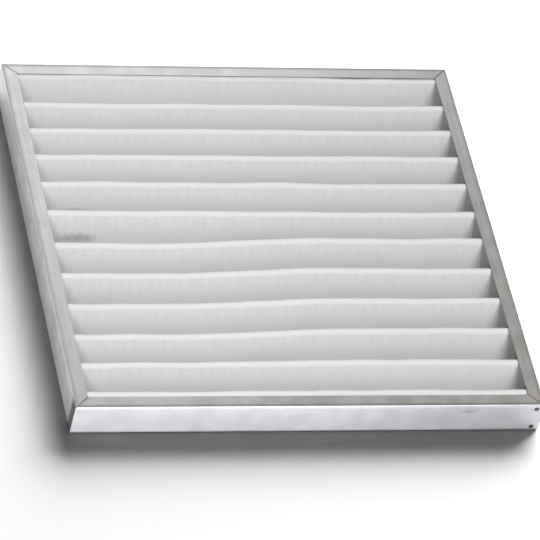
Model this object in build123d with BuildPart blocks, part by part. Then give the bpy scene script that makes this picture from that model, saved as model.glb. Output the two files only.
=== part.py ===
"""Pleated panel air filter: a folded nonwoven pack in a mitred sheet-metal channel frame.

Millimetres. The origin is at the centre of the bottom (air outlet) face, +Z points to the
pleated air inlet face, +X runs along the pleats, and the front rail is at -Y.
"""
from build123d import *
from math import asin, atan2, cos, degrees, hypot, pi, radians, sin, tan
import os

# Frame: four rolled U channels
frame_width = 592.0        # X, over the side webs
frame_depth = 592.0        # Y, over the front and rear webs
frame_height = 45.0        # Z, over the flanges
sheet = 0.8                # thickness of the channel's metal
flange = 18.0              # width of each flange, over the bend
bend_radius = 2.0          # outside of each bend
mitre_gap = 0.3            # between two mitred ends
open_corner = 6.0          # by which the left web stops short of the front corner

# Corner keys: moulded L brackets inside the channels
key_wall = 2.0
key_leg = 32.0
key_radius = 6.0           # outside of the key's corner
key_bend_gap = 0.3         # above and below the key, to the channel's bends

# Rivets: two through one leg of each key
rivet_radius = 1.6
rivet_hole_gap = 0.1       # round the shank
rivet_head_radius = 3.2
rivet_head_height = 0.8
rivet_head_slope = 30.0    # degrees by which the head's side leans in
rivet_tail = 0.8           # end of the shank beyond the key
rivet_from_corner = 9.5
rivet_from_flange = 7.0    # from the top or bottom face to the rivet's axis

# Media: one folded sheet
pleat_count = 12
end_ridge_inset = 25.5     # from the outer face of a web to the nearest ridge
ridge_drift = 8.8          # by which the middle of the pack stands nearer the rear
ridge_spread = 3.9         # by which each quarter of the pack stands nearer its end
media_thickness = 3.0
ridge_inner_radius = 3.9   # underside of the sheet, under a ridge
valley_inner_radius = 0.5  # upper side of the sheet, in a valley
foot_gap = 2.2             # from the last fold's foot to the corner key
fit_gap = 0.3              # to the flanges, above and below

# Support mesh: square wires on the underside of the media
wire = 0.9
mesh_gap = 0.2             # between the media and the wires
weld_gap = 0.05            # between crossing wires, which the weld fills
fold_wire_pitch = 63.5     # between wires that follow the folds
cross_wire_pitch = 12.7    # between wires that run along the pleats
cross_wires_per_leg = 3
mesh_edge_gap = 1.0        # from the media's cut edge to the end of a wire

# Adhesive
seal_thickness = 4.0       # along the side webs, to the cut ends of the pleats
seal_tail_gap = 0.4        # round a rivet's tail
bead_top = 4.2             # height of the foot beads over the bottom face
bead_width = 11.0
bead_slope = 1.5           # by which a bead's side leans
corner_relief = 0.3        # adhesive stays this far out of the channel's bends

# Worked out from the sizes above
half_width = frame_width / 2
half_depth = frame_depth / 2
inner_width = half_width - sheet
inner_depth = half_depth - sheet
inner_bend = bend_radius - sheet
relief = inner_bend + corner_relief
key_bottom = sheet + inner_bend + key_bend_gap
key_height = frame_height - 2 * key_bottom
media_half_width = inner_width - seal_thickness

ridge_outer_radius = ridge_inner_radius + media_thickness
valley_outer_radius = valley_inner_radius + media_thickness
ridge_z = frame_height - sheet - fit_gap - ridge_outer_radius
valley_z = sheet + fit_gap + wire + mesh_gap + valley_outer_radius
ridge_span = frame_depth - 2 * end_ridge_inset
foot_y = inner_depth - key_wall - foot_gap


def ridge_place(i):
    """Y of a ridge, counted from the front. The folds are not quite evenly spaced."""
    part_way = i / (pleat_count - 1)
    even_place = ridge_span * (part_way - 0.5)
    return even_place + ridge_drift * sin(pi * part_way) - ridge_spread * sin(2 * pi * part_way)


def tangent_angle(run, drop, radius):
    """Slope of the line that leaves a circle of this radius and passes the given point."""
    return degrees(atan2(drop, run) + asin(radius / hypot(run, drop)))


ridge_ys = [ridge_place(i) for i in range(pleat_count)]
valley_ys = [(front + rear) / 2 for front, rear in zip(ridge_ys, ridge_ys[1:])]
end_angle = tangent_angle(foot_y - ridge_ys[-1], ridge_z - bead_top, ridge_outer_radius)
leg_angles = [
    tangent_angle(valley - ridge, ridge_z - valley_z, ridge_inner_radius + valley_outer_radius)
    for ridge, valley in zip(ridge_ys, valley_ys)
]
# Slope of the legs on both sides of each ridge: fold i lies between slopes i and i + 1.
slopes = [end_angle, *leg_angles, end_angle]

os.makedirs("parts", exist_ok=True)


# ---------------------------------------------------------------- frame rails
# Each side is named by the way its web faces. Seen from outside, "along" points to the right.
sides = {
    "front": (Vector(0, -1, 0), half_depth, half_width),
    "right": (Vector(1, 0, 0), half_width, half_depth),
    "rear": (Vector(0, 1, 0), half_depth, half_width),
    "left": (Vector(-1, 0, 0), half_width, half_depth),
}
up = Vector(0, 0, 1)
rivet_heights = {"upper": frame_height - rivet_from_flange, "lower": rivet_from_flange}


def along(outward):
    """Direction to the right along a side, for someone who looks at it from outside."""
    return up.cross(outward)


def section_plane(outward):
    """Plane of a rail's section: x points outwards, y points up."""
    return Plane(origin=(0, 0, 0), x_dir=outward, z_dir=outward.cross(up))


def rivet_plane(side, z):
    """Plane on the outer face of a web, at a rivet, with z pointing outwards."""
    outward, reach, half_length = sides[side]
    centre = outward * reach + along(outward) * (half_length - rivet_from_corner) + up * z
    return Plane(origin=centre, x_dir=along(outward), z_dir=outward)


for side, (outward, reach, half_length) in sides.items():
    with BuildPart() as rail:
        with BuildSketch(section_plane(outward)):
            with BuildLine():
                FilletPolyline(
                    (reach - flange, 0),
                    (reach, 0),
                    (reach, frame_height),
                    (reach - flange, frame_height),
                    radius=bend_radius,
                )
                FilletPolyline(
                    (reach - flange, sheet),
                    (reach - sheet, sheet),
                    (reach - sheet, frame_height - sheet),
                    (reach - flange, frame_height - sheet),
                    radius=inner_bend,
                )
                Line((reach - flange, 0), (reach - flange, sheet))
                Line((reach - flange, frame_height - sheet), (reach - flange, frame_height))
            make_face()
        extrude(amount=half_length, both=True)

        for end in (1, -1):
            corner = outward * reach + along(outward) * (end * half_length)
            beyond = (along(outward) * end - outward).normalized()
            cut = Plane(origin=corner - beyond * (mitre_gap / 2), z_dir=beyond)
            split(bisect_by=cut, keep=Keep.BOTTOM)

        for z in rivet_heights.values():
            with Locations(rivet_plane(side, z)):
                Hole(radius=rivet_radius + rivet_hole_gap, depth=2 * sheet)

        if side == "left":
            gap_centre = outward * reach + along(outward) * (half_length - open_corner / 2)
            with Locations(gap_centre + up * (frame_height / 2)):
                Box(2 * sheet, open_corner, frame_height - 2 * bend_radius, mode=Mode.SUBTRACT)
    name = f"{side}_rail"
    rail.part.label = name
    export_step(rail.part, f"parts/{name}.step")


# ---------------------------------------------------------------- corner keys
# A key is riveted to the side whose right-hand end it closes.
corners = {
    "front_right": ("front", 1, -1),
    "rear_right": ("right", 1, 1),
    "rear_left": ("rear", -1, 1),
    "front_left": ("left", -1, -1),
}

for corner_name, (side, x_sign, y_sign) in corners.items():
    x_face = x_sign * inner_width
    y_face = y_sign * inner_depth
    with BuildPart() as key:
        with BuildSketch(Plane.XY.offset(key_bottom)):
            with BuildLine():
                FilletPolyline(
                    (x_face - x_sign * key_leg, y_face),
                    (x_face, y_face),
                    (x_face, y_face - y_sign * key_leg),
                    radius=key_radius,
                )
                FilletPolyline(
                    (x_face - x_sign * key_leg, y_face - y_sign * key_wall),
                    (x_face - x_sign * key_wall, y_face - y_sign * key_wall),
                    (x_face - x_sign * key_wall, y_face - y_sign * key_leg),
                    radius=key_radius - key_wall,
                )
                Line(
                    (x_face - x_sign * key_leg, y_face),
                    (x_face - x_sign * key_leg, y_face - y_sign * key_wall),
                )
                Line(
                    (x_face, y_face - y_sign * key_leg),
                    (x_face - x_sign * key_wall, y_face - y_sign * key_leg),
                )
            make_face()
        extrude(amount=key_height)
        for z in rivet_heights.values():
            with Locations(rivet_plane(side, z).offset(-sheet)):
                Hole(radius=rivet_radius + rivet_hole_gap, depth=2 * key_wall)
    name = f"{corner_name}_corner_key"
    key.part.label = name
    export_step(key.part, f"parts/{name}.step")


# ---------------------------------------------------------------- rivets
# One rivet is made on the XY plane, with its head above, and set at every seat.
shank_length = sheet + key_wall + rivet_tail
with BuildPart() as rivet:
    with BuildSketch():
        Circle(rivet_head_radius)
    extrude(amount=rivet_head_height, taper=rivet_head_slope)
    with BuildSketch():
        Circle(rivet_radius)
    extrude(amount=-shank_length)

with BuildPart() as corner_rivets:
    with Locations(*[rivet_plane(side, z) for side in sides for z in rivet_heights.values()]):
        add(rivet.part)
corner_rivets.part.label = "corner_rivets"
export_step(corner_rivets.part, "parts/corner_rivets.step")


# ---------------------------------------------------------------- pleated media
def end_foot(ridge_y, radius, outside):
    """Foot of the first or last leg, at the top of its bead, for a fold of this radius."""
    a = radians(end_angle)
    y = radius * sin(a) + (ridge_z + radius * cos(a) - bead_top) / tan(a)
    return (ridge_y + outside * y, bead_top)


def draw_fold_line(ridge_radius, valley_radius):
    """Draw one face of the folded sheet, from the front foot to the rear foot."""
    last = end_foot(ridge_ys[0], ridge_radius, -1)
    first = last
    for i, ridge_y in enumerate(ridge_ys):
        rise, fall = slopes[i], slopes[i + 1]
        crest = CenterArc((ridge_y, ridge_z), ridge_radius, 90 + rise, -rise - fall)
        Line(last, crest @ 0)
        last = crest @ 1
        if i < pleat_count - 1:
            trough = CenterArc((valley_ys[i], valley_z), valley_radius, 270 - fall, 2 * fall)
            Line(last, trough @ 0)
            last = trough @ 1
    foot = end_foot(ridge_ys[-1], ridge_radius, 1)
    Line(last, foot)
    return first, foot


with BuildPart() as pleated_media:
    with BuildSketch(Plane.YZ):
        with BuildLine():
            upper_ends = draw_fold_line(ridge_outer_radius, valley_inner_radius)
            lower_ends = draw_fold_line(ridge_inner_radius, valley_outer_radius)
            for upper_end, lower_end in zip(upper_ends, lower_ends):
                Line(upper_end, lower_end)
        make_face()
    extrude(amount=media_half_width, both=True)
pleated_media.part.label = "pleated_media"
export_step(pleated_media.part, "parts/pleated_media.step")


# ---------------------------------------------------------------- support mesh
def wire_points(ridge_radius, valley_radius):
    """Corners of a wire's face: a flat across each ridge and a flat under each valley."""
    points = [end_foot(ridge_ys[0], ridge_radius, -1)]
    for i, ridge_y in enumerate(ridge_ys):
        rise, fall = radians(slopes[i]), radians(slopes[i + 1])
        points.append((ridge_y - ridge_radius * sin(rise), ridge_z + ridge_radius * cos(rise)))
        points.append((ridge_y + ridge_radius * sin(fall), ridge_z + ridge_radius * cos(fall)))
        if i < pleat_count - 1:
            half_flat = valley_radius * tan(fall / 2)
            points.append((valley_ys[i] - half_flat, valley_z - valley_radius))
            points.append((valley_ys[i] + half_flat, valley_z - valley_radius))
    points.append(end_foot(ridge_ys[-1], ridge_radius, 1))
    return points


def leg_places():
    """Centre and slope of each leg of the wires' lower face, from front to rear."""
    corners_below = wire_points(
        ridge_inner_radius - mesh_gap - wire, valley_outer_radius + mesh_gap + wire
    )
    places = []
    for low, high in zip(corners_below[0::2], corners_below[1::2]):
        slope = degrees(atan2(high[1] - low[1], high[0] - low[0]))
        places.append(((low[0] + high[0]) / 2, (low[1] + high[1]) / 2, slope))
    return places


mesh_half_width = media_half_width - mesh_edge_gap
fold_wires_each_side = int(mesh_half_width // fold_wire_pitch)
fold_wire_count = 2 * fold_wires_each_side + 1
fold_wire_start = -fold_wires_each_side * fold_wire_pitch - wire / 2
fold_wire_planes = [
    Plane.YZ.offset(fold_wire_start + i * fold_wire_pitch) for i in range(fold_wire_count)
]

with BuildPart() as support_mesh:
    with BuildSketch(*fold_wire_planes):
        with BuildLine():
            near = wire_points(ridge_inner_radius - mesh_gap, valley_outer_radius + mesh_gap)
            far = wire_points(
                ridge_inner_radius - mesh_gap - wire, valley_outer_radius + mesh_gap + wire
            )
            Polyline(*near, *reversed(far), close=True)
        make_face()
    extrude(amount=wire, clean=False)
    with BuildSketch(Plane.YZ.offset(-mesh_half_width)):
        for y, z, slope in leg_places():
            lean = radians(slope)
            for step in range(cross_wires_per_leg):
                shift = (step - (cross_wires_per_leg - 1) / 2) * cross_wire_pitch
                depth = wire / 2 + weld_gap
                centre = (
                    y + shift * cos(lean) + depth * sin(lean),
                    z + shift * sin(lean) - depth * cos(lean),
                )
                with Locations(Location(centre, slope)):
                    Rectangle(wire, wire)
    extrude(amount=2 * mesh_half_width, clean=False)
support_mesh.part.label = "support_mesh"
export_step(support_mesh.part, "parts/support_mesh.step")


# ---------------------------------------------------------------- adhesive
seal_half_length = inner_depth - key_radius
bead_half_length = inner_width - key_radius


def key_leg_centre(side, end):
    """Centre of the corner key's leg behind a web, at its right (1) or left (-1) end."""
    outward, reach, half_length = sides[side]
    inwards = outward * (reach - sheet - key_wall / 2)
    return inwards + along(outward) * (end * (half_length - sheet - key_leg / 2)) + up * (frame_height / 2)


for side in ("left", "right"):
    outward, reach, half_length = sides[side]
    web = reach - sheet
    with BuildPart() as seal:
        with BuildSketch(section_plane(outward)):
            with BuildLine():
                Polyline(
                    (web - seal_thickness, sheet),
                    (web - relief, sheet),
                    (web, sheet + relief),
                    (web, frame_height - sheet - relief),
                    (web - relief, frame_height - sheet),
                    (web - seal_thickness, frame_height - sheet),
                    close=True,
                )
            make_face()
        extrude(amount=seal_half_length, both=True)
        for end in (1, -1):
            with Locations(key_leg_centre(side, end)):
                Box(key_wall, key_leg, key_height, mode=Mode.SUBTRACT)
        for z in rivet_heights.values():
            with Locations(rivet_plane(side, z).offset(-sheet - key_wall)):
                Hole(radius=rivet_radius + seal_tail_gap, depth=rivet_tail + seal_tail_gap)
    name = f"{side}_edge_seal"
    seal.part.label = name
    export_step(seal.part, f"parts/{name}.step")

for side in ("front", "rear"):
    outward, reach, half_length = sides[side]
    web = reach - sheet
    with BuildPart() as bead:
        with BuildSketch(section_plane(outward)):
            with BuildLine():
                Polyline(
                    (web - bead_width, sheet),
                    (web - relief, sheet),
                    (web, sheet + relief),
                    (web, bead_top),
                    (web - bead_width + bead_slope, bead_top),
                    close=True,
                )
            make_face()
        extrude(amount=bead_half_length, both=True)
        for end in (1, -1):
            with Locations(key_leg_centre(side, end)):
                Box(key_leg, key_wall, key_height, mode=Mode.SUBTRACT)
    name = f"{side}_foot_bead"
    bead.part.label = name
    export_step(bead.part, f"parts/{name}.step")
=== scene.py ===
# %% [markdown]
# # A pleated panel air filter
#
# The object is a square filter that slides into an air duct. One long sheet of white nonwoven
# is folded to twelve ridges over a welded wire mesh, and four channels of galvanised sheet hold
# the folded pack by its edges. The solid model already has every piece at its real size. This
# lesson loads that model, gives its metal a finish, and builds anew the two pieces that a solid
# modeller keeps plain: the soft sheet, whose folds are never quite even, and the wire mesh.

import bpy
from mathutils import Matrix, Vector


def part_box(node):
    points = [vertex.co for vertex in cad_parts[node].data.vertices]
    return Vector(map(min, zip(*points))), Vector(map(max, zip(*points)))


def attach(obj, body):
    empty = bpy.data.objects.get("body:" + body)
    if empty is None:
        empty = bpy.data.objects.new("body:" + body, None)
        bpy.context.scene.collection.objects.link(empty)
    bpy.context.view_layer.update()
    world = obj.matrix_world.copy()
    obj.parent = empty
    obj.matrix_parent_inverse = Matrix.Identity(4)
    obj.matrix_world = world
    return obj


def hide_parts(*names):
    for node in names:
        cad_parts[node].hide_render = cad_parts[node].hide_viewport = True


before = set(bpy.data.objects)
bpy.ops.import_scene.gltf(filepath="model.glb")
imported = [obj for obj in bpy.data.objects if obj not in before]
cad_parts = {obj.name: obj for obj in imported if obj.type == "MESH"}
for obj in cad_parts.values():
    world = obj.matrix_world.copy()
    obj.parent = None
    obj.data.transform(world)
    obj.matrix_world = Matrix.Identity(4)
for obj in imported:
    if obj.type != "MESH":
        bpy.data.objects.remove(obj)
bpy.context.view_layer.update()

# %% [markdown]
# ## The tools of the lesson
#
# Lengths of small things read best in millimetres, but Blender works in metres, so one value
# does the change. Angles come in degrees from the drawing and go into functions as radians.

# %% Imports and units
import math
import bpy
import bmesh
import numpy as np
from mathutils import Matrix, Vector

MM = 0.001
scene = bpy.context.scene
scene.view_settings.view_transform = "Standard"
print("view transform:", scene.view_settings.view_transform)

# %% [markdown]
# ## The camera
#
# A long lens from over six metres away keeps the far side of the frame almost as wide as the near
# side. The camera stands to the left of the front, looks down at about 44 degrees, and is
# rolled, so that the front and rear channels lie almost level while the side channels lean. It
# is placed by its direction from the aim point, which is easier to read than coordinates.

# %% Place the camera
camera_azimuth = math.radians(-21.977)
camera_elevation = math.radians(44.101)
camera_roll = math.radians(15.776)
camera_distance = 6.408
camera_aim = Vector((-0.0108, -0.0670, 0.0450))
camera_lens_mm = 344.61


def camera_matrix():
    """The camera's place and turn, with its roll about the line of sight."""
    back = Vector((
        math.sin(camera_azimuth) * math.cos(camera_elevation),
        -math.cos(camera_azimuth) * math.cos(camera_elevation),
        math.sin(camera_elevation),
    ))
    level_right = Vector((0, 0, 1)).cross(back).normalized()
    level_up = back.cross(level_right)
    right = level_right * math.cos(camera_roll) + level_up * math.sin(camera_roll)
    up = back.cross(right)
    turn = Matrix((right, up, back)).transposed().to_4x4()
    return Matrix.Translation(camera_aim + back * camera_distance) @ turn


camera = bpy.data.objects.new("camera", bpy.data.cameras.new("camera"))
scene.collection.objects.link(camera)
camera.data.lens = camera_lens_mm
camera.data.clip_end = 100
camera.matrix_world = camera_matrix()
scene.camera = camera
print("camera at", tuple(round(v, 3) for v in camera.matrix_world.translation))

# %% [markdown]
# ## Floor and light
#
# The filter lies flat on a pale floor, in a weak even light from all round. One large lamp at
# the rear right lights only the floor, and the filter throws its soft shadow to the left and
# front. The other five leave the floor alone, as flags would arrange it in a studio. A high
# lamp on the right lights the folds, and a weaker one on the left fills them. A low one lights
# the frame's edges. The light of these three isn't followed once it has struck, because what
# the front web throws back would wash the shadow away. A lamp behind brightens the crests of
# the sheet, and a small one at the rear is there to be mirrored in the upper flanges, where
# its reflection fades from the rear left corner to the front right.

# %% World and lamps
world_level = 0.07
lamp_aim = Vector((0, 0, 20 * MM))


def nodes_of(owner):
    """An owner's empty node tree, ready to be filled."""
    owner.use_nodes = True
    owner.node_tree.nodes.clear()
    return owner.node_tree


def soft_lamp(name, place, width, height, watts):
    """A rectangular lamp that looks at the middle of the filter and stays out of sight."""
    lamp = bpy.data.objects.new(name, bpy.data.lights.new(name, "AREA"))
    scene.collection.objects.link(lamp)
    lamp.data.shape = "RECTANGLE"
    lamp.data.size = width
    lamp.data.size_y = height
    lamp.data.energy = watts
    lamp.location = place
    lamp.rotation_euler = (Vector(place) - lamp_aim).to_track_quat("Z", "Y").to_euler()
    lamp.visible_camera = False
    return lamp


world = bpy.data.worlds.new("studio")
scene.world = world
world_tree = nodes_of(world)
background = world_tree.nodes.new("ShaderNodeBackground")
background.inputs["Color"].default_value = (1, 1, 1, 1)
background.inputs["Strength"].default_value = world_level
world_out = world_tree.nodes.new("ShaderNodeOutputWorld")
world_tree.links.new(background.outputs[0], world_out.inputs[0])

shadow_lamp = soft_lamp("shadow_lamp", (2.60, 3.95, 2.40), 4.6, 4.6, 650)
high_lamp = soft_lamp("high_lamp", (1.30, -2.60, 4.20), 2.8, 2.0, 146)
fill_lamp = soft_lamp("fill_lamp", (-2.00, -1.50, 2.90), 2.0, 1.4, 41)
low_lamp = soft_lamp("low_lamp", (-3.40, -3.70, 1.80), 2.4, 1.6, 196)
low_lamp.visible_glossy = False
rim_lamp = soft_lamp("rim_lamp", (0.30, 3.40, 3.60), 2.0, 2.0, 34)
mirror_lamp = soft_lamp("mirror_lamp", (0.50, 2.50, 1.90), 0.9, 0.7, 7.7)
for lamp in (high_lamp, fill_lamp, low_lamp):
    lamp.data.cycles.max_bounces = 0

# %% [markdown]
# ## The floor
#
# The floor is pale paper. Seen directly, or mirrored in metal, it is half as bright again as
# the light that it throws back, which brings the lit part up to white and keeps the depth of
# the shadow. Light linking gives each lamp a list of what it lights, or of what it leaves dark.
# Two of the lists name the sheet too, so they are made later, when the sheet is there.

# %% Floor
floor_size = 60.0
floor_white = 0.93
floor_seen_white = 1.38


def make_floor_paper():
    """White paper that looks whiter to the camera and in mirrors than it is to the light."""
    material = bpy.data.materials.new("floor_paper")
    tree = nodes_of(material)
    rays = tree.nodes.new("ShaderNodeLightPath")
    seen = rays.outputs["Is Camera Ray"]
    for name in ("Is Glossy Ray", "Is Transmission Ray"):
        either = tree.nodes.new("ShaderNodeMath")
        either.operation = "MAXIMUM"
        tree.links.new(seen, either.inputs[0])
        tree.links.new(rays.outputs[name], either.inputs[1])
        seen = either.outputs[0]
    white = tree.nodes.new("ShaderNodeMapRange")
    white.inputs["To Min"].default_value = floor_white
    white.inputs["To Max"].default_value = floor_seen_white
    tree.links.new(seen, white.inputs["Value"])
    paper = tree.nodes.new("ShaderNodeBsdfDiffuse")
    tree.links.new(white.outputs["Result"], paper.inputs["Color"])
    out = tree.nodes.new("ShaderNodeOutputMaterial")
    tree.links.new(paper.outputs[0], out.inputs["Surface"])
    return material


def make_floor():
    """A large square, far larger than the filter, so that its edge is never seen."""
    mesh = bpy.data.meshes.new("floor")
    half = floor_size / 2
    corners = [(-half, -half, 0), (half, -half, 0), (half, half, 0), (-half, half, 0)]
    mesh.from_pydata(corners, [], [(0, 1, 2, 3)])
    mesh.materials.append(make_floor_paper())
    made = bpy.data.objects.new("floor", mesh)
    scene.collection.objects.link(made)
    return made


def link_light(lamp, pieces, state):
    """Let a lamp light only these pieces (INCLUDE), or everything but these (EXCLUDE)."""
    group = bpy.data.collections.new(f"{lamp.name}_link")
    lamp.light_linking.receiver_collection = group
    for piece in pieces:
        group.objects.link(piece)
    for member in group.collection_objects:
        member.light_linking.link_state = state


floor = make_floor()
link_light(shadow_lamp, [floor], "INCLUDE")
for lamp in (high_lamp, fill_lamp, mirror_lamp):
    link_light(lamp, [floor], "EXCLUDE")
print("floor of", floor_size, "m")

# %% [markdown]
# ## Shader groups
#
# Several finishes need the same effects: lengthwise streaks from the rolling mill, cloudy
# blotches, and a smudge of dirt at a chosen place. Each effect is a node group with named
# sockets, so that every material can set its own values. A group gives only a value that
# changes over the surface; the shader itself stays in the material.

# %% Helpers for node trees
def new_group(kind, name, inputs, outputs):
    """A node group with named sockets. Inputs are (name, type, default)."""
    tree = bpy.data.node_groups.new(name, kind)
    for socket_name, socket_type, default in inputs:
        socket = tree.interface.new_socket(socket_name, in_out="INPUT", socket_type=socket_type)
        if default is not None:
            socket.default_value = default
    for socket_name, socket_type in outputs:
        tree.interface.new_socket(socket_name, in_out="OUTPUT", socket_type=socket_type)
    return tree, tree.nodes.new("NodeGroupInput"), tree.nodes.new("NodeGroupOutput")


def feed(tree, socket, value):
    """Link a socket to another, or set it to a plain value."""
    if isinstance(value, bpy.types.NodeSocket):
        tree.links.new(value, socket)
    else:
        socket.default_value = value


def math_node(tree, operation, first, second=0.0, clamp=False):
    """One Math node; the inputs are sockets or numbers."""
    node = tree.nodes.new("ShaderNodeMath")
    node.operation = operation
    node.use_clamp = clamp
    feed(tree, node.inputs[0], first)
    feed(tree, node.inputs[1], second)
    return node.outputs[0]


def ramp_node(tree, value, from_low, from_high, to_low=0.0, to_high=1.0, smooth=True):
    """A Map Range node, with soft ends if smooth."""
    node = tree.nodes.new("ShaderNodeMapRange")
    node.interpolation_type = "SMOOTHSTEP" if smooth else "LINEAR"
    for name, number in (("Value", value), ("From Min", from_low), ("From Max", from_high),
                         ("To Min", to_low), ("To Max", to_high)):
        feed(tree, node.inputs[name], number)
    return node.outputs["Result"]


def vector_node(tree, operation, first, second):
    """One Vector Math node; the inputs are sockets or triples."""
    node = tree.nodes.new("ShaderNodeVectorMath")
    node.operation = operation
    feed(tree, node.inputs[0], first)
    feed(tree, node.inputs[1], second)
    return node.outputs["Value" if operation == "LENGTH" else "Vector"]


def noise_node(tree, vector, scale, detail=3.0, roughness=0.5):
    """A Noise texture's value."""
    node = tree.nodes.new("ShaderNodeTexNoise")
    feed(tree, node.inputs["Vector"], vector)
    feed(tree, node.inputs["Scale"], scale)
    feed(tree, node.inputs["Detail"], detail)
    feed(tree, node.inputs["Roughness"], roughness)
    return node.outputs[0]


def place_group(tree, group, **values):
    """Put a group in a tree and set its inputs by name; returns its outputs."""
    node = tree.nodes.new("ShaderNodeGroup")
    node.node_tree = group
    for name, value in values.items():
        feed(tree, node.inputs[name.replace("_", " ")], value)
    return node.outputs


# %% Build the shared effects
blotch_scale = 38.0
ragged_scale = 160.0
ragged_share = 0.9      # how far the noise moves a smudge's edge, in reaches
smudge_fade = (0.55, 1.5)


def make_streak_group():
    """Thin streaks that run one way: noise on coordinates stretched by a vector."""
    tree, into, out = new_group(
        "ShaderNodeTree", "rolled_streaks",
        [("Vector", "NodeSocketVector", None), ("Stretch", "NodeSocketVector", (1, 1, 1))],
        [("Streak", "NodeSocketFloat"), ("Blotch", "NodeSocketFloat")],
    )
    stretched = vector_node(tree, "MULTIPLY", into.outputs["Vector"], into.outputs["Stretch"])
    streak = noise_node(tree, stretched, 1.0, 4.0, 0.6)
    blotch = noise_node(tree, into.outputs["Vector"], blotch_scale, 2.0, 0.5)
    tree.links.new(streak, out.inputs["Streak"])
    tree.links.new(blotch, out.inputs["Blotch"])
    return tree


def make_smudge_group():
    """A soft oval patch at a place, with a ragged edge."""
    tree, into, out = new_group(
        "ShaderNodeTree", "smudge",
        [("Vector", "NodeSocketVector", None), ("Centre", "NodeSocketVector", (0, 0, 0)),
         ("Spread", "NodeSocketVector", (1, 1, 1)), ("Strength", "NodeSocketFloat", 1.0)],
        [("Mask", "NodeSocketFloat")],
    )
    away = vector_node(tree, "SUBTRACT", into.outputs["Vector"], into.outputs["Centre"])
    scaled = vector_node(tree, "DIVIDE", away, into.outputs["Spread"])
    distance = vector_node(tree, "LENGTH", scaled, (0, 0, 0))
    ragged = noise_node(tree, into.outputs["Vector"], ragged_scale, 4.0, 0.65)
    reach = math_node(tree, "ADD", distance, math_node(tree, "MULTIPLY", ragged, ragged_share))
    mask = ramp_node(tree, reach, *smudge_fade, 1.0, 0.0)
    tree.links.new(math_node(tree, "MULTIPLY", mask, into.outputs["Strength"]), out.inputs["Mask"])
    return tree


streak_group = make_streak_group()
smudge_group = make_smudge_group()
print("shader groups:", streak_group.name, smudge_group.name)

# %% [markdown]
# ## Galvanised channels
#
# The channels are rolled from steel strip with a thin coat of zinc. New zinc mirrors; after some
# weeks a pale, matt skin covers it, so the finish is half metal and half matt. The rolling
# leaves faint streaks along the strip, and handling leaves cloudy patches. Beside each bend a
# dull line is a painted dark reflection, and on it a bright line is a painted highlight; the
# lower lip of a web gets painted shade, and the mitres are dark joints. The flanges are painted
# darker and warmer towards the front right corner, as painted shade. The front and rear webs are
# a little bluer than the flanges and painted paler, as painted light, and darker towards their
# right ends, as painted shade. The side webs are painted darker, as painted shade, and darker
# still at their front ends, beside the open crack. The front and rear channels run along X and
# the sides along Y, so the same finish is made twice, with its streaks turned.

# %% Helpers for materials
def new_material(name):
    """A material with a Principled shader; returns the material, its tree and the shader."""
    material = bpy.data.materials.new(name)
    tree = nodes_of(material)
    shader = tree.nodes.new("ShaderNodeBsdfPrincipled")
    out = tree.nodes.new("ShaderNodeOutputMaterial")
    tree.links.new(shader.outputs[0], out.inputs["Surface"])
    return material, tree, shader


def object_coordinates(tree):
    """The Object coordinates, which stay with the piece."""
    return tree.nodes.new("ShaderNodeTexCoord").outputs["Object"]


def mix_colour(tree, factor, first, second):
    """A colour between two, by a factor."""
    node = tree.nodes.new("ShaderNodeMix")
    node.data_type = "RGBA"
    feed(tree, node.inputs["Factor"], factor)
    feed(tree, node.inputs[6], first)
    feed(tree, node.inputs[7], second)
    return node.outputs[2]


def scale_colour(tree, colour, factor):
    """A colour times a value."""
    node = tree.nodes.new("ShaderNodeVectorMath")
    node.operation = "SCALE"
    feed(tree, node.inputs[0], colour)
    feed(tree, node.inputs["Scale"], factor)
    return node.outputs[0]


def bump_node(tree, height, distance, strength=1.0):
    """A Bump node for a height in metres times distance."""
    node = tree.nodes.new("ShaderNodeBump")
    node.inputs["Strength"].default_value = strength
    node.inputs["Distance"].default_value = distance
    feed(tree, node.inputs["Height"], height)
    return node.outputs["Normal"]


# %% Painted lines at the bends
web_edge = (1.4 * MM, 0.4 * MM)        # inward of the frame's outer faces, flange to web
painted_dark_begins = (0.8 * MM, 1.6 * MM)     # painted dark reflection, on the flange, inward of the bend
painted_dark_ends = (6.5 * MM, 3.5 * MM)
painted_dark_below = (2.0 * MM, 0.6 * MM)      # only on the upper skin
mitre_width = (2.6 * MM, 1.0 * MM)
mitre_strength = 1.5
lip_height = (4.2 * MM, 2.2 * MM)      # painted shade on the web, over the floor
highlight_begins = (1.2 * MM, 2.0 * MM)   # painted highlight, on the web, under the bend
highlight_ends = (5.6 * MM, 3.6 * MM)
frame_low, frame_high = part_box("front_rail")
frame_half = -frame_low.y
frame_top = frame_high.z
print("channels reach", round(frame_half / MM, 1), "mm out and", round(frame_top / MM, 1), "mm up")


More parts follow.
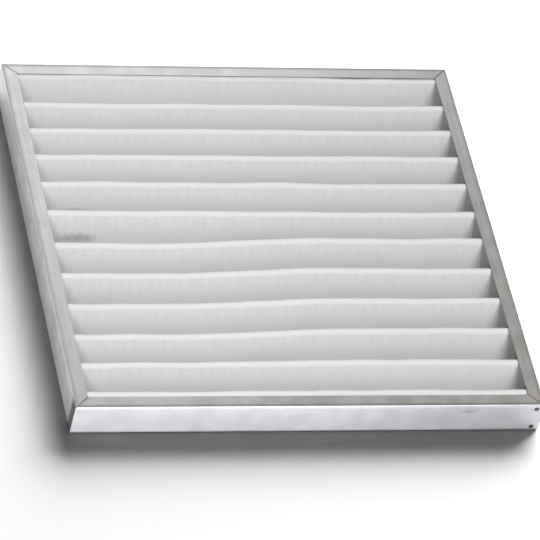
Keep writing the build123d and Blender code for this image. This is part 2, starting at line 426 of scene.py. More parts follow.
def make_bend_group():
    """Masks of the painted dark reflection and painted highlight at the bends, of the painted shade on
    the lip, of the dark mitre joints, and of the webs.
    """
    tree, into, out = new_group(
        "ShaderNodeTree", "bend_marks",
        [("Vector", "NodeSocketVector", None), ("Half Side", "NodeSocketFloat", frame_half),
         ("Top", "NodeSocketFloat", frame_top), ("Lip", "NodeSocketFloat", 1.0)],
        [("Dull", "NodeSocketFloat"), ("Bright", "NodeSocketFloat"), ("Web", "NodeSocketFloat")],
    )
    apart = tree.nodes.new("ShaderNodeSeparateXYZ")
    tree.links.new(into.outputs["Vector"], apart.inputs[0])
    x, y, z = apart.outputs
    across, deep = math_node(tree, "ABSOLUTE", x), math_node(tree, "ABSOLUTE", y)
    reach = math_node(tree, "MAXIMUM", across, deep)
    inward = math_node(tree, "SUBTRACT", into.outputs["Half Side"], reach)
    below = math_node(tree, "SUBTRACT", into.outputs["Top"], z)
    web = ramp_node(tree, inward, *web_edge)

    # painted dark reflection beside each bend, on the flange's upper skin; the mitres are dark joints
    mottle_and_painted_dark = math_node(tree, "MULTIPLY", ramp_node(tree, inward, *painted_dark_begins),
                     ramp_node(tree, inward, *painted_dark_ends))
    mottle_and_painted_dark = math_node(tree, "MULTIPLY", mottle_and_painted_dark, ramp_node(tree, below, *painted_dark_below))
    off_mitre = math_node(tree, "ABSOLUTE", math_node(tree, "SUBTRACT", across, deep))
    mitre = math_node(tree, "MULTIPLY", ramp_node(tree, off_mitre, *mitre_width), mitre_strength)
    mitre = math_node(tree, "MULTIPLY", mitre, math_node(tree, "SUBTRACT", 1.0, web))
    mottle_and_painted_dark = math_node(tree, "MAXIMUM", mottle_and_painted_dark, mitre)
    # painted shade on the web's lower lip
    lip = math_node(tree, "MULTIPLY", ramp_node(tree, z, *lip_height), web)
    lip = math_node(tree, "MULTIPLY", lip, into.outputs["Lip"])
    # painted highlight on the web under the bend
    highlight = math_node(tree, "MULTIPLY", ramp_node(tree, below, *highlight_begins),
                       ramp_node(tree, below, *highlight_ends))
    tree.links.new(math_node(tree, "MAXIMUM", mottle_and_painted_dark, lip), out.inputs["Dull"])
    tree.links.new(math_node(tree, "MULTIPLY", highlight, web), out.inputs["Bright"])
    tree.links.new(web, out.inputs["Web"])
    return tree


bend_group = make_bend_group()

# %% Zinc finish
clean_pale = (0.70, 0.70, 0.72, 1)
clean_dark = (0.61, 0.61, 0.625, 1)
# painted shade: the flanges' tones towards the front right corner
shaded_pale = (0.62, 0.60, 0.58, 1)
shaded_dark = (0.52, 0.50, 0.48, 1)
flange_metallic = 0.5
web_metallic = 0.3
zinc_roughness = 0.36
streak_along = 5.0           # cells of the streaks' noise in a metre
streak_across = 300.0
front_right_shade_reach = (-150 * MM, 450 * MM)   # of x - y, from clean to painted shade
web_far_begins = -50 * MM
highlight_share = 0.10           # share that a bend's painted highlight adds to the tone
painted_dark_share = 0.36             # share that its painted dark reflection takes away
open_end = 22 * MM           # length of painted shade at the front end of the side webs, beside the open crack
smear_place = Vector((200 * MM, -frame_half, 34 * MM))
smear_spread = (12 * MM, 4 * MM, 4 * MM)
smear_strength = 0.32


def make_zinc(name, stretch, streakiness, web_pale, web_dark, web_far, lip, front_end_shade, bends):
    """Galvanised strip whose streaks run along the axis with the small stretch.

    web_far is the tone of a web at its right end and front_end_shade how much darker its front
    end is beside the open crack, both as painted shade. lip and bends are the strengths of the
    painted shade at the lower edge and of the painted dark reflection and highlight at the bends.
    """
    material, tree, shader = new_material(name)
    place = object_coordinates(tree)
    apart = tree.nodes.new("ShaderNodeSeparateXYZ")
    tree.links.new(place, apart.inputs[0])
    x, y, z = apart.outputs
    strip = place_group(tree, streak_group, Vector=place, Stretch=stretch)
    bend = place_group(
        tree, bend_group, Vector=place, Half_Side=frame_half, Top=frame_top, Lip=lip)
    streak = math_node(tree, "MULTIPLY", strip["Streak"], streakiness)
    cloud = math_node(tree, "MULTIPLY", strip["Blotch"], 1.0 - streakiness)
    tone = ramp_node(tree, math_node(tree, "ADD", streak, cloud), 0.36, 0.64)

    # painted shade: the flanges turn darker and warmer towards the front right corner
    front_right_shade = ramp_node(tree, math_node(tree, "SUBTRACT", x, y), *front_right_shade_reach)
    clean = mix_colour(tree, tone, clean_dark, clean_pale)
    shaded_tone = mix_colour(tree, tone, shaded_dark, shaded_pale)
    flange_tone = mix_colour(tree, front_right_shade, clean, shaded_tone)

    web_tone = mix_colour(tree, tone, web_dark, web_pale)
    # painted shade: a web darkens towards its right end
    far = ramp_node(tree, x, web_far_begins, frame_half, 1.0, web_far)
    web_tone = scale_colour(tree, web_tone, far)
    # painted shade at a web's front end, beside the open crack
    end = ramp_node(tree, y, open_end - frame_half, open_end / 2 - frame_half, 1.0, 1.0 - front_end_shade)
    web_tone = scale_colour(tree, web_tone, end)
    colour = mix_colour(tree, bend["Web"], flange_tone, web_tone)

    smear = place_group(tree, smudge_group, Vector=place, Centre=smear_place,
                        Spread=smear_spread, Strength=smear_strength)["Mask"]
    # painted highlight and painted dark reflection at the bends, painted shade on the lip, dark mitre
    # joints
    added = math_node(tree, "MULTIPLY", bend["Bright"], highlight_share * bends)
    taken = math_node(tree, "MULTIPLY", bend["Dull"], painted_dark_share * bends)
    lines = math_node(tree, "SUBTRACT", math_node(tree, "ADD", 1.0, added), taken)
    lines = math_node(tree, "SUBTRACT", lines, smear)
    feed(tree, shader.inputs["Base Color"], scale_colour(tree, colour, lines))
    rough = ramp_node(tree, strip["Blotch"], 0.3, 0.7, zinc_roughness - 0.04, zinc_roughness + 0.06)
    feed(tree, shader.inputs["Roughness"], rough)
    feed(tree, shader.inputs["Normal"], bump_node(tree, strip["Streak"], 0.01 * MM))
    feed(tree, shader.inputs["Metallic"],
         ramp_node(tree, bend["Web"], 0.0, 1.0, flange_metallic, web_metallic))
    return material


# the front and rear webs are painted paler, as painted light, and a little bluer
zinc_along_x = make_zinc(
    "zinc_along_x", (streak_along, streak_across, streak_across), 0.25,
    (0.95, 0.94, 0.99, 1), (0.86, 0.85, 0.90, 1), web_far=0.64, lip=1.0, front_end_shade=0.0, bends=1.0)
# the side webs are painted darker, as painted shade
zinc_along_y = make_zinc(
    "zinc_along_y", (streak_across, streak_along, streak_across), 0.65,
    (0.68, 0.68, 0.69, 1), (0.52, 0.52, 0.53, 1), web_far=1.0, lip=0.3, front_end_shade=0.7, bends=0.45)


def dress(node, material):
    """Give a solid of the model its finish through its material slots."""
    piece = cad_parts[node]
    piece.data.materials.clear()
    piece.data.materials.append(material)
    return piece


for rail, finish in (("front_rail", zinc_along_x), ("rear_rail", zinc_along_x),
                     ("left_rail", zinc_along_y), ("right_rail", zinc_along_y)):
    dress(rail, finish)
print("channels finished with", zinc_along_x.name, "and", zinc_along_y.name)

# %% [markdown]
# ## Corner keys and adhesive
#
# A moulded key joins each corner from inside. It shows only through the open crack at the
# front left corner, and it is made near-black as painted shade of the crack's dark inside. Pale
# adhesive fills the side channels and holds the first and last fold.
# Both are plain plastics, one with a fine mould grain and one with a poured, uneven skin, so
# one function makes both from two colours and the size of the grain.

# %% Plastic and adhesive
def make_plastic(name, dark, pale, roughness, grain, grain_height):
    """A plastic with cloudy colour and a skin of fine bumps."""
    material, tree, shader = new_material(name)
    place = object_coordinates(tree)
    cloud = noise_node(tree, place, 90.0, 3.0)
    skin = noise_node(tree, place, grain, 2.0)
    feed(tree, shader.inputs["Base Color"],
         mix_colour(tree, ramp_node(tree, cloud, 0.35, 0.65), dark, pale))
    feed(tree, shader.inputs["Roughness"],
         ramp_node(tree, skin, 0.3, 0.7, roughness - 0.06, roughness + 0.06))
    feed(tree, shader.inputs["Normal"], bump_node(tree, skin, grain_height))
    return material


# painted shade: the keys are near-black to stand for the dark inside of the crack
key_plastic = make_plastic(
    "key_plastic", (0.11, 0.11, 0.112, 1), (0.15, 0.15, 0.152, 1), 0.5, 2600, 0.03 * MM)
adhesive = make_plastic(
    "adhesive", (0.70, 0.68, 0.58, 1), (0.80, 0.78, 0.70, 1), 0.42, 220, 0.5 * MM)

for corner in ("front_right", "rear_right", "rear_left", "front_left"):
    dress(f"{corner}_corner_key", key_plastic)
for bond in ("left_edge_seal", "right_edge_seal", "front_foot_bead", "rear_foot_bead"):
    dress(bond, adhesive)
print("keys and adhesive finished")

# %% [markdown]
# ## The fold rule
#
# The pack is one sheet. In section it runs up a leg, over a round ridge, down a leg, and round
# a tight valley, twelve times. Two circles and the line that touches both give the whole
# section, so the rule needs only the number of pleats, two radii and the height. The same rule
# with other radii gives any surface that lies at an even distance under the sheet, and that is
# how the wires get their path later.

# %% Sizes of the pack
pleat_count = 12
sheet_thickness = 3.0 * MM
ridge_radius = 5.4 * MM      # to the middle of the sheet
valley_radius = 2.0 * MM
end_ridge_reach = 270.5 * MM
foot_height = 4.2 * MM       # of the sheet's ends over the floor

media_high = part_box("pleated_media")[1]
half_length = media_high.x
ridge_height = media_high.z - sheet_thickness / 2 - ridge_radius
valley_height = 5.7 * MM
pitch = 2 * end_ridge_reach / (pleat_count - 1)
ridges = [-end_ridge_reach + i * pitch for i in range(pleat_count)]


def touch_angle(run, drop, radius):
    """Slope of a line that leaves a circle of this radius and passes the given point."""
    return math.atan2(drop, run) + math.asin(radius / math.hypot(run, drop))


leg_angle = touch_angle(pitch / 2, ridge_height - valley_height, ridge_radius + valley_radius)
end_angle = touch_angle(
    media_high.y - end_ridge_reach, ridge_height - foot_height, ridge_radius + sheet_thickness / 2)
print("legs lean", round(math.degrees(leg_angle), 1), "degrees, pitch", round(pitch / MM, 2), "mm")


# %% The section of the pack
def foot(ridge_y, radius, outside):
    """End of the first or last leg, at the height of the feet."""
    rise = ridge_height + radius * math.cos(end_angle) - foot_height
    return (ridge_y + outside * (radius * math.sin(end_angle) + rise / math.tan(end_angle)),
            foot_height)


def arc(centre, radius, start, end, steps):
    """Points on an arc from one angle to another, both included."""
    return [(centre[0] + radius * math.cos(start + (end - start) * k / steps),
             centre[1] + radius * math.sin(start + (end - start) * k / steps))
            for k in range(steps + 1)]


def straight(start, end, steps):
    """Points on a straight leg, both ends included."""
    return [(start[0] + (end[0] - start[0]) * k / steps, start[1] + (end[1] - start[1]) * k / steps)
            for k in range(steps + 1)]


def fold_section(depth, ridge_steps, valley_steps, leg_steps):
    """The folded line, from the front foot to the rear foot, at a depth under mid-sheet."""
    over, under = ridge_radius - depth, valley_radius + depth
    line = [foot(ridges[0], over, -1)]
    for i, ridge_y in enumerate(ridges):
        rise = end_angle if i == 0 else leg_angle
        fall = end_angle if i == pleat_count - 1 else leg_angle
        crest = arc((ridge_y, ridge_height), over, math.pi / 2 + rise, math.pi / 2 - fall, ridge_steps)
        line += straight(line.pop(), crest[0], leg_steps) + crest[1:]
        if i < pleat_count - 1:
            trough = arc((ridge_y + pitch / 2, valley_height), under,
                         1.5 * math.pi - leg_angle, 1.5 * math.pi + leg_angle, valley_steps)
            line += straight(line.pop(), trough[0], leg_steps) + trough[1:]
    return line + straight(line.pop(), foot(ridges[-1], over, 1), leg_steps)


sheet_section = fold_section(0.0, ridge_steps=8, valley_steps=4, leg_steps=3)

# %% [markdown]
# ## Uneven folds
#
# No pack is folded quite evenly. The ridges crowd towards the rear, some of them lie askew, and
# every one wavers and sags a little. The last one bulges under the rear channel. The wire mesh
# is folded together with the sheet, so both have to move alike. That is why the unevenness is
# a Geometry Nodes group of its own: it shifts a point by its place in the even pack, and
# whatever goes through it stays together.

# %% The drift group
askew_middle = -30 * MM                # place along a ridge where it turns askew
askew_reach = 60 * MM
askew_front = (-250 * MM, -170 * MM)   # skew grows from none to all, seen from the front
askew_rear = (25 * MM, -20 * MM)       # and seen from the rear
bulge_left = (-235 * MM, -165 * MM)    # the last ridge bulges less at both of its ends
bulge_right = (170 * MM, 60 * MM)
bulge_left_share = 0.75
bulge_right_share = 0.65
waver_scale = 9.0
sag_scale = 14.0


def make_drift_group():
    """Moves every point of the pack by a smooth rule of its place."""
    tree, into, out = new_group(
        "GeometryNodeTree", "pack_drift",
        [("Geometry", "NodeSocketGeometry", None),
         ("Rearward", "NodeSocketFloat", 8.75 * MM), ("Spacing", "NodeSocketFloat", 3.91 * MM),
         ("Skew", "NodeSocketFloat", 4.6 * MM), ("Rear Bulge", "NodeSocketFloat", 8.0 * MM),
         ("Waver", "NodeSocketFloat", 5.0 * MM),
         ("Sag", "NodeSocketFloat", 2.2 * MM), ("Seed", "NodeSocketFloat", 4.0)],
        [("Geometry", "NodeSocketGeometry")],
    )
    position = tree.nodes.new("GeometryNodeInputPosition").outputs[0]
    apart = tree.nodes.new("ShaderNodeSeparateXYZ")
    tree.links.new(position, apart.inputs[0])
    x, y, z = apart.outputs

    phase = ramp_node(tree, y, -end_ridge_reach, end_ridge_reach, 0.0, math.pi, smooth=False)
    bulge = math_node(tree, "MULTIPLY", math_node(tree, "SINE", phase), into.outputs["Rearward"])
    double = math_node(tree, "SINE", math_node(tree, "MULTIPLY", phase, 2.0))
    crowd = math_node(tree, "MULTIPLY", double, into.outputs["Spacing"])
    even = math_node(tree, "SUBTRACT", bulge, crowd)

    along = math_node(tree, "SUBTRACT", x, askew_middle)
    turn = math_node(tree, "TANH", math_node(tree, "DIVIDE", along, askew_reach))
    askew = math_node(tree, "MULTIPLY", turn, into.outputs["Skew"])
    askew = math_node(tree, "MULTIPLY", askew, ramp_node(tree, y, *askew_rear))
    askew = math_node(tree, "MULTIPLY", askew, ramp_node(tree, y, *askew_front))

    flat_place = tree.nodes.new("ShaderNodeCombineXYZ")
    tree.links.new(x, flat_place.inputs[0])
    tree.links.new(y, flat_place.inputs[1])
    tree.links.new(into.outputs["Seed"], flat_place.inputs[2])
    waver = noise_node(tree, flat_place.outputs[0], waver_scale, 1.0)
    waver = math_node(tree, "SUBTRACT", waver, 0.5)
    waver = math_node(tree, "MULTIPLY", waver, into.outputs["Waver"])

    rear = ramp_node(tree, y, end_ridge_reach - pitch / 2, end_ridge_reach - 8 * MM)
    left_end = ramp_node(tree, x, *bulge_left, bulge_left_share, 1.0)
    right_end = ramp_node(tree, x, *bulge_right, bulge_right_share, 1.0)
    rear = math_node(tree, "MULTIPLY", rear, math_node(tree, "MULTIPLY", left_end, right_end))
    rear = math_node(tree, "MULTIPLY", rear, into.outputs["Rear Bulge"])

    shift = math_node(tree, "ADD", math_node(tree, "ADD", even, askew), waver)
    shift = math_node(tree, "ADD", shift, rear)
    outer = ramp_node(tree, math_node(tree, "ABSOLUTE", y), end_ridge_reach, end_ridge_reach + 6 * MM)
    low = ramp_node(tree, z, ridge_height - 2 * MM, foot_height + 3 * MM)
    glued = math_node(tree, "MULTIPLY", outer, low)
    shift = math_node(tree, "MULTIPLY", shift, math_node(tree, "SUBTRACT", 1.0, glued))

    lift = ramp_node(tree, z, valley_height, ridge_height + ridge_radius)
    unlike = noise_node(tree, flat_place.outputs[0], sag_scale, 1.0)
    sag = math_node(tree, "MULTIPLY", math_node(tree, "MULTIPLY", unlike, into.outputs["Sag"]), lift)
    drop = math_node(tree, "MULTIPLY", sag, -1.0)

    offset = tree.nodes.new("ShaderNodeCombineXYZ")
    tree.links.new(shift, offset.inputs[1])
    tree.links.new(drop, offset.inputs[2])
    move = tree.nodes.new("GeometryNodeSetPosition")
    tree.links.new(into.outputs["Geometry"], move.inputs["Geometry"])
    tree.links.new(offset.outputs[0], move.inputs["Offset"])
    tree.links.new(move.outputs[0], out.inputs["Geometry"])
    return tree


drift_group = make_drift_group()
print("drift inputs:", [s.name for s in drift_group.interface.items_tree if s.in_out == "INPUT"])

# %% [markdown]
# ## The white sheet
#
# The sheet is a soft polyester nonwoven about three millimetres thick. It could be a box with
# folds carved into it, but a real sheet is as thick on a ridge as on a leg, so it is made as a
# thin surface first and gets its thickness last. The sheet, the wires and the rivets all pass
# through a Geometry Nodes tree that ends in the same way, so their helpers come first.

# %% Helpers for pieces
def run_nodes(piece, tree, **values):
    """Put a Geometry Nodes tree on a piece and set its inputs by socket identifier."""
    modifier = piece.modifiers.new(tree.name, "NODES")
    modifier.node_group = tree
    for item in tree.interface.items_tree:
        key = item.name.replace(" ", "_")
        if item.in_out == "INPUT" and key in values:
            modifier[item.identifier] = values[key]
    return modifier


def finish_mesh(piece):
    """Replace a piece's mesh by what its modifiers make, and remove them."""
    bpy.context.view_layer.update()
    graph = bpy.context.evaluated_depsgraph_get()
    mesh = bpy.data.meshes.new_from_object(piece.evaluated_get(graph))
    piece.modifiers.clear()
    old = piece.data
    piece.data = mesh
    mesh.name = piece.name
    bpy.data.meshes.remove(old)
    print(piece.name, "has", sum(len(p.vertices) - 2 for p in mesh.polygons), "triangles")
    return piece


def new_piece(name, points, edges, faces):
    """A mesh object in the scene."""
    mesh = bpy.data.meshes.new(name)
    mesh.from_pydata(points, edges, faces)
    piece = bpy.data.objects.new(name, mesh)
    scene.collection.objects.link(piece)
    return piece


def make_piece_tree(name, inputs):
    """A tree that drifts its geometry; what it makes after that is added by the caller."""
    tree, into, out = new_group(
        "GeometryNodeTree", name,
        [("Geometry", "NodeSocketGeometry", None)] + inputs + [("Finish", "NodeSocketMaterial", None)],
        [("Geometry", "NodeSocketGeometry")],
    )
    drift = tree.nodes.new("GeometryNodeGroup")
    drift.node_tree = drift_group
    tree.links.new(into.outputs["Geometry"], drift.inputs["Geometry"])
    return tree, into, out, drift.outputs["Geometry"]


def end_tree(tree, into, out, geometry):
    """Close a tree with Realize Instances and Set Material."""
    realize = tree.nodes.new("GeometryNodeRealizeInstances")
    paint = tree.nodes.new("GeometryNodeSetMaterial")
    tree.links.new(geometry, realize.inputs[0])
    tree.links.new(realize.outputs[0], paint.inputs["Geometry"])
    tree.links.new(into.outputs["Finish"], paint.inputs["Material"])
    tree.links.new(paint.outputs[0], out.inputs["Geometry"])


# %% [markdown]
# ## The sheet's finish
#
# The nonwoven is matt white. Three things keep it from looking like paper: fine fibres, clouds
# of denser and thinner felt, and the mesh behind it, which shows as faint lines half an inch
# apart down every fold. The crests are painted whiter, as a painted highlight, and the folds are
# painted darker down into the valleys and towards the right end of every fold, as painted shade.
# Two grey smudges near the left end are dirt, and they stay.

# %% Nonwoven finish
media_white = (0.92, 0.92, 0.92, 1)
media_thin = (0.87, 0.87, 0.872, 1)
# media_valley is painted shade down in the folds, and media_crest a painted highlight on the crests
media_valley = (0.67, 0.67, 0.665, 1)
media_crest = (0.94, 0.94, 0.94, 1)
dirt_grey = (0.40, 0.40, 0.39, 1)
right_end_shade = 0.93                # painted shade: share of the tone left at the right end of a fold
right_end_shade_reach = (-150 * MM, 280 * MM)
valley_shade = (40 * MM, 10 * MM)    # heights where the painted shade of the valleys begins and is full
# heights where the painted highlight of the crests begins and is full
crest_highlight = (39.5 * MM, 42.5 * MM)
felt_scale = 70.0
fibre_scale = 1400.0
cloth_relief = 0.5 * MM
fibre_share = 0.25                   # of the relief
felt_share = 0.22
line_share = 0.16
wire_pitch = 12.7 * MM
smudges = (   # place, reach and strength of each
    ((-240 * MM, 13 * MM, 18 * MM), (36 * MM, 7 * MM, 11 * MM), 0.95),
    ((-234 * MM, 65 * MM, 14 * MM), (28 * MM, 4 * MM, 6 * MM), 0.55),
)


def make_nonwoven():
    """White felt with fibres, clouds, the lines of the mesh, two smudges, painted shade in the valleys
    and at the right ends, and a painted highlight on the crests.
    """
    material, tree, shader = new_material("nonwoven")
    place = object_coordinates(tree)
    uv = tree.nodes.new("ShaderNodeUVMap")
    uv.uv_map = "cloth"
    felt = noise_node(tree, uv.outputs[0], felt_scale, 3.0, 0.55)
    fibre = noise_node(tree, uv.outputs[0], fibre_scale, 3.0, 0.7)
    apart = tree.nodes.new("ShaderNodeSeparateXYZ")
    tree.links.new(uv.outputs[0], apart.inputs[0])
    turn = math_node(tree, "MULTIPLY", apart.outputs[0], 2 * math.pi / wire_pitch)
    line = ramp_node(tree, math_node(tree, "COSINE", turn), 0.2, 1.0)

    tone = ramp_node(tree, felt, 0.3, 0.7, 0.35, 1.0)
    tone = math_node(tree, "SUBTRACT", tone, math_node(tree, "MULTIPLY", line, 0.5), clamp=True)
    colour = mix_colour(tree, tone, media_thin, media_white)
    where = tree.nodes.new("ShaderNodeSeparateXYZ")
    tree.links.new(place, where.inputs[0])
    x, y, z = where.outputs
    # painted shade into the valleys, painted highlight on the crests, painted shade towards the right
    # ends
    colour = mix_colour(tree, ramp_node(tree, z, *valley_shade), colour, media_valley)
    colour = mix_colour(tree, ramp_node(tree, z, *crest_highlight), colour, media_crest)
    colour = scale_colour(tree, colour, ramp_node(tree, x, *right_end_shade_reach, 1.0, right_end_shade))
    for centre, reach, strength in smudges:
        dirt = place_group(
            tree, smudge_group, Vector=place, Centre=centre, Spread=reach, Strength=strength)
        colour = mix_colour(tree, dirt["Mask"], colour, dirt_grey)
    feed(tree, shader.inputs["Base Color"], colour)
    feed(tree, shader.inputs["Roughness"], ramp_node(tree, fibre, 0.3, 0.7, 0.82, 0.95))
    relief = math_node(tree, "ADD", math_node(tree, "MULTIPLY", fibre, fibre_share),
                       math_node(tree, "MULTIPLY", felt, felt_share))
    relief = math_node(tree, "SUBTRACT", relief, math_node(tree, "MULTIPLY", line, line_share))
    feed(tree, shader.inputs["Normal"], bump_node(tree, relief, cloth_relief))
    shader.inputs["Specular IOR Level"].default_value = 0.15
    shader.inputs["Sheen Weight"].default_value = 0.08
    return material


nonwoven = make_nonwoven()
print("nonwoven has", len(nonwoven.node_tree.nodes), "nodes")

# %% [markdown]
# ## Fold the sheet
#
# The section is drawn out along X in narrow stations, which lets the uneven folds bend
# smoothly. A UV map in metres runs over the folds, so that the fibres and the faint lines
# follow the cloth. The drift group makes the folds uneven, and only then does a Solidify
# modifier give the sheet its thickness, so that it stays as thick everywhere.

# %% Make the sheet
stations = 184


def make_sheet():
    """The folded sheet: section points by stations along X, joined by quads."""
    xs = np.linspace(-half_length, half_length, stations + 1)
    rows = len(sheet_section)
    points = [(x, y, z) for x in xs for y, z in sheet_section]
    faces = [(s * rows + r, (s + 1) * rows + r, (s + 1) * rows + r + 1, s * rows + r + 1)
             for s in range(stations) for r in range(rows - 1)]
    piece = new_piece("media_sheet", points, [], faces)
    along = [0.0]
    for a, b in zip(sheet_section, sheet_section[1:]):
        along.append(along[-1] + math.dist(a, b))
    layer = piece.data.uv_layers.new(name="cloth")
    for loop in piece.data.loops:
        station, row = divmod(loop.vertex_index, rows)
        layer.data[loop.index].uv = (xs[station], along[row])
    piece.data.shade_smooth()
    return piece


media_sheet = make_sheet()
sheet_tree, sheet_in, sheet_out, drifted = make_piece_tree("uneven_sheet", [])
end_tree(sheet_tree, sheet_in, sheet_out, drifted)
run_nodes(media_sheet, sheet_tree, Finish=nonwoven)
thicken = media_sheet.modifiers.new("thickness", "SOLIDIFY")
thicken.thickness = sheet_thickness
thicken.offset = 0
thicken.use_even_offset = True
finish_mesh(media_sheet)

# %% [markdown]
# ## The wire mesh
#
# The pack lies on half-inch welded mesh, which keeps the folds apart when air pushes on them.
# Half the wires go over the folds and half run along the pleats, welded underneath. Only their
# centre lines are drawn. A Geometry Nodes tree drifts the lines with the same group as the
# sheet, turns them into curves, and sweeps a small circle along each one.

# %% Wire lines
wire_diameter = 0.9 * MM
wire_clearance = 0.2 * MM
weld_depth = 0.1 * wire_diameter     # how far crossing wires sink into each other
wires_per_leg = 3
wire_stations = 41
wire_sides = 6
wire_reach = half_length - 1.0 * MM
over_depth = sheet_thickness / 2 + wire_clearance + wire_diameter / 2
under_depth = over_depth + wire_diameter - weld_depth


def leg_ends(depth):
    """Ends of every straight leg at a depth under the middle of the sheet.

    With a single step for each arc and leg, the line's points come in pairs, one for a leg.
    """
    line = fold_section(depth, ridge_steps=1, valley_steps=1, leg_steps=1)
    return list(zip(line[0::2], line[1::2]))


def wire_lines():
    """Points and edges of all centre lines."""
    points, edges = [], []

    def add_line(line):
        first = len(points)
        points.extend(line)
        edges.extend((k, k + 1) for k in range(first, len(points) - 1))

    count = int(wire_reach // wire_pitch)
    over = fold_section(over_depth, ridge_steps=4, valley_steps=3, leg_steps=2)
    for k in range(-count, count + 1):
        add_line([(k * wire_pitch, y, z) for y, z in over])
    for start, end in leg_ends(under_depth):
        middle = Vector(start).lerp(Vector(end), 0.5)
        step = (Vector(end) - Vector(start)).normalized() * wire_pitch
        for k in range(wires_per_leg):
            y, z = middle + step * (k - (wires_per_leg - 1) / 2)
            add_line([(x, y, z) for x in np.linspace(-wire_reach, wire_reach, wire_stations)])
    return points, edges


line_points, line_edges = wire_lines()
print("mesh has", len(line_points) - len(line_edges), "wires")


# %% Sweep the wires
def make_wire_tree():
    """Drift the lines and sweep a circle along them."""
    tree, into, out, drifted_lines = make_piece_tree(
        "swept_wires",
        [("Diameter", "NodeSocketFloat", wire_diameter), ("Sides", "NodeSocketInt", wire_sides)],
    )
    curves = tree.nodes.new("GeometryNodeMeshToCurve")
    circle = tree.nodes.new("GeometryNodeCurvePrimitiveCircle")
    sweep = tree.nodes.new("GeometryNodeCurveToMesh")
    sweep.inputs["Fill Caps"].default_value = True
    tree.links.new(drifted_lines, curves.inputs["Mesh"])
    tree.links.new(into.outputs["Sides"], circle.inputs["Resolution"])
    half = math_node(tree, "MULTIPLY", into.outputs["Diameter"], 0.5)
    tree.links.new(half, circle.inputs["Radius"])
    tree.links.new(curves.outputs[0], sweep.inputs["Curve"])
    tree.links.new(circle.outputs[0], sweep.inputs["Profile Curve"])
    end_tree(tree, into, out, sweep.outputs[0])
    return tree


# %% Wire finish and the finished mesh
wire_dark = (0.42, 0.42, 0.43, 1)
wire_pale = (0.60, 0.60, 0.62, 1)


def make_wire_finish():
    """Galvanised wire, duller than the sheet."""
    material, tree, shader = new_material("zinc_wire")
    place = object_coordinates(tree)
    mottle_and_painted_dark = noise_node(tree, place, 260.0, 3.0)
    feed(tree, shader.inputs["Base Color"],
         mix_colour(tree, ramp_node(tree, mottle_and_painted_dark, 0.35, 0.65), wire_dark, wire_pale))
    feed(tree, shader.inputs["Roughness"], ramp_node(tree, mottle_and_painted_dark, 0.3, 0.7, 0.36, 0.52))
    shader.inputs["Metallic"].default_value = 0.9
    return material


wire_mesh = new_piece("wire_mesh", line_points, line_edges, [])
run_nodes(wire_mesh, make_wire_tree(), Diameter=wire_diameter, Sides=wire_sides,
          Finish=make_wire_finish())
finish_mesh(wire_mesh)
wire_mesh.data.shade_smooth()

# %% [markdown]
# ## Rivets
#
# Each corner key is held by two blind rivets. A blind rivet has a low domed head with a hole in
# the middle, where the end of the drawn pin sits back in the dark. One rivet is turned on a
# lathe, that is, a short outline spun round its axis. Geometry Nodes then set a copy on each
# seat, with its axis along the outward direction stored there.

# %% One rivet
rivet_head_radius = 3.2 * MM
rivet_head_height = 0.8 * MM
rivet_shank_radius = 1.6 * MM
rivet_shank_length = 3.6 * MM
rivet_dome_angle = math.radians(68)
rivet_dome_points = 6
rivet_rim_fall = 0.05 * MM       # of the hole's rim under the top of the dome
rivet_hole_radius = 1.15 * MM
rivet_hole_depth = 0.5 * MM
rivet_floor_radius = 0.92 * rivet_hole_radius
rivet_pin_rise = 0.12 * MM       # of the pin's rounded end in the hole
rivet_facets = 28


def rivet_outline():
    """Half of the rivet's section, from the end of the shank to the middle of the hole."""
    shank = [(0, -rivet_shank_length), (rivet_shank_radius, -rivet_shank_length),
             (rivet_shank_radius, 0)]
    dome = [(rivet_head_radius * math.cos(a), rivet_head_height * math.sin(a))
            for a in np.linspace(0, rivet_dome_angle, rivet_dome_points)]
    hole_floor = rivet_head_height - rivet_hole_depth
    hole = [(rivet_hole_radius, rivet_head_height - rivet_rim_fall),
            (rivet_floor_radius, hole_floor), (0, hole_floor + rivet_pin_rise)]
    return shank + dome + hole


def lathe(name, outline, facets):
    """A closed solid of revolution about Z, with its poles as single points."""
    shape = bmesh.new()
    rings = []
    for radius, z in outline:
        if radius == 0:
            rings.append([shape.verts.new((0, 0, z))])
        else:
            rings.append([shape.verts.new((radius * math.cos(2 * math.pi * k / facets),
                                           radius * math.sin(2 * math.pi * k / facets), z))
                          for k in range(facets)])
    for low, high in zip(rings, rings[1:]):
        for k in range(facets):
            ring = [low[k % len(low)], low[(k + 1) % len(low)],
                    high[(k + 1) % len(high)], high[k % len(high)]]
            shape.faces.new(list(dict.fromkeys(ring)))
    bmesh.ops.recalc_face_normals(shape, faces=shape.faces)
    piece = new_piece(name, [], [], [])
    shape.to_mesh(piece.data)
    shape.free()
    return piece


pattern_rivet = lathe("pattern_rivet", rivet_outline(), rivet_facets)
print("one rivet has", len(pattern_rivet.data.polygons), "faces")

# %% Rivets on their seats
rivet_from_corner = 9.5 * MM
rivet_from_face = 7.0 * MM
rivet_dark = (0.08, 0.08, 0.085, 1)
rivet_pale = (0.16, 0.16, 0.165, 1)


def rivet_seats():
    """Places and outward directions of the rivets, at the right-hand end of every web."""
    places, outward = [], []
    for x, y in ((0, -1), (1, 0), (0, 1), (-1, 0)):
        direction = Vector((x, y, 0))
        right = Vector((0, 0, 1)).cross(direction)
        corner = direction * frame_half + right * (frame_half - rivet_from_corner)
        for z in (rivet_from_face, frame_top - rivet_from_face):
            places.append(corner + Vector((0, 0, z)))
            outward.append(direction)
    return places, outward


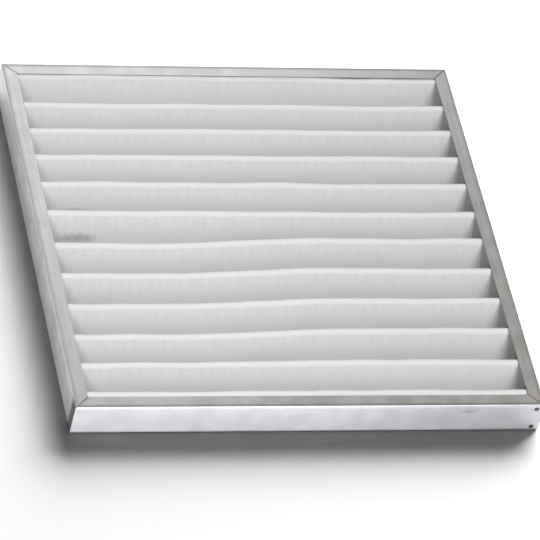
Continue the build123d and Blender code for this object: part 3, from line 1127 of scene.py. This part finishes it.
def make_rivet_tree():
    """Set a copy of the rivet on every point, turned to the point's outward direction."""
    tree, into, out = new_group(
        "GeometryNodeTree", "set_rivets",
        [("Geometry", "NodeSocketGeometry", None), ("Rivet", "NodeSocketObject", None),
         ("Size", "NodeSocketFloat", 1.0), ("Finish", "NodeSocketMaterial", None)],
        [("Geometry", "NodeSocketGeometry")],
    )
    info = tree.nodes.new("GeometryNodeObjectInfo")
    tree.links.new(into.outputs["Rivet"], info.inputs["Object"])
    facing = tree.nodes.new("GeometryNodeInputNamedAttribute")
    facing.data_type = "FLOAT_VECTOR"
    facing.inputs["Name"].default_value = "outward"
    turn = tree.nodes.new("FunctionNodeAlignRotationToVector")
    turn.axis = "Z"
    tree.links.new(facing.outputs[0], turn.inputs["Vector"])
    copies = tree.nodes.new("GeometryNodeInstanceOnPoints")
    tree.links.new(into.outputs["Geometry"], copies.inputs["Points"])
    tree.links.new(info.outputs["Geometry"], copies.inputs["Instance"])
    tree.links.new(turn.outputs[0], copies.inputs["Rotation"])
    tree.links.new(into.outputs["Size"], copies.inputs["Scale"])
    end_tree(tree, into, out, copies.outputs[0])
    return tree


def make_rivet_finish():
    """Dark, half-matt aluminium with a mottled tone."""
    material, tree, shader = new_material("rivet_metal")
    place = object_coordinates(tree)
    rivet_mottle = noise_node(tree, place, 900.0, 3.0)
    feed(tree, shader.inputs["Base Color"],
         mix_colour(tree, ramp_node(tree, rivet_mottle, 0.3, 0.7), rivet_dark, rivet_pale))
    feed(tree, shader.inputs["Roughness"], ramp_node(tree, rivet_mottle, 0.3, 0.7, 0.38, 0.55))
    shader.inputs["Metallic"].default_value = 0.85
    return material


seat_places, seat_outward = rivet_seats()
blind_rivets = new_piece("blind_rivets", seat_places, [], [])
store = blind_rivets.data.attributes.new("outward", "FLOAT_VECTOR", "POINT")
store.data.foreach_set("vector", [c for direction in seat_outward for c in direction])
run_nodes(blind_rivets, make_rivet_tree(), Rivet=pattern_rivet, Size=1.0,
          Finish=make_rivet_finish())
finish_mesh(blind_rivets)
bpy.data.objects.remove(pattern_rivet)

# %% [markdown]
# ## Tie the pieces to the model
#
# The filter has no moving parts, so everything rides on the one body. The new sheet, mesh and
# rivets stand for their plain solids, which are hidden.
# Now that the sheet is there, the lamp behind can be told to light it alone, and the low lamp
# to leave it to the softer lamps above.

# %% Ride and replace
for piece, node, slot_name in ((media_sheet, "pleated_media", "media"),
                               (wire_mesh, "support_mesh", "mesh_wire"),
                               (blind_rivets, "corner_rivets", "rivet_metal")):
    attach(piece, "root")
    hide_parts(node)
    print(piece.name, "stands for", node)
link_light(rim_lamp, [media_sheet], "INCLUDE")
link_light(low_lamp, [floor, media_sheet], "EXCLUDE")
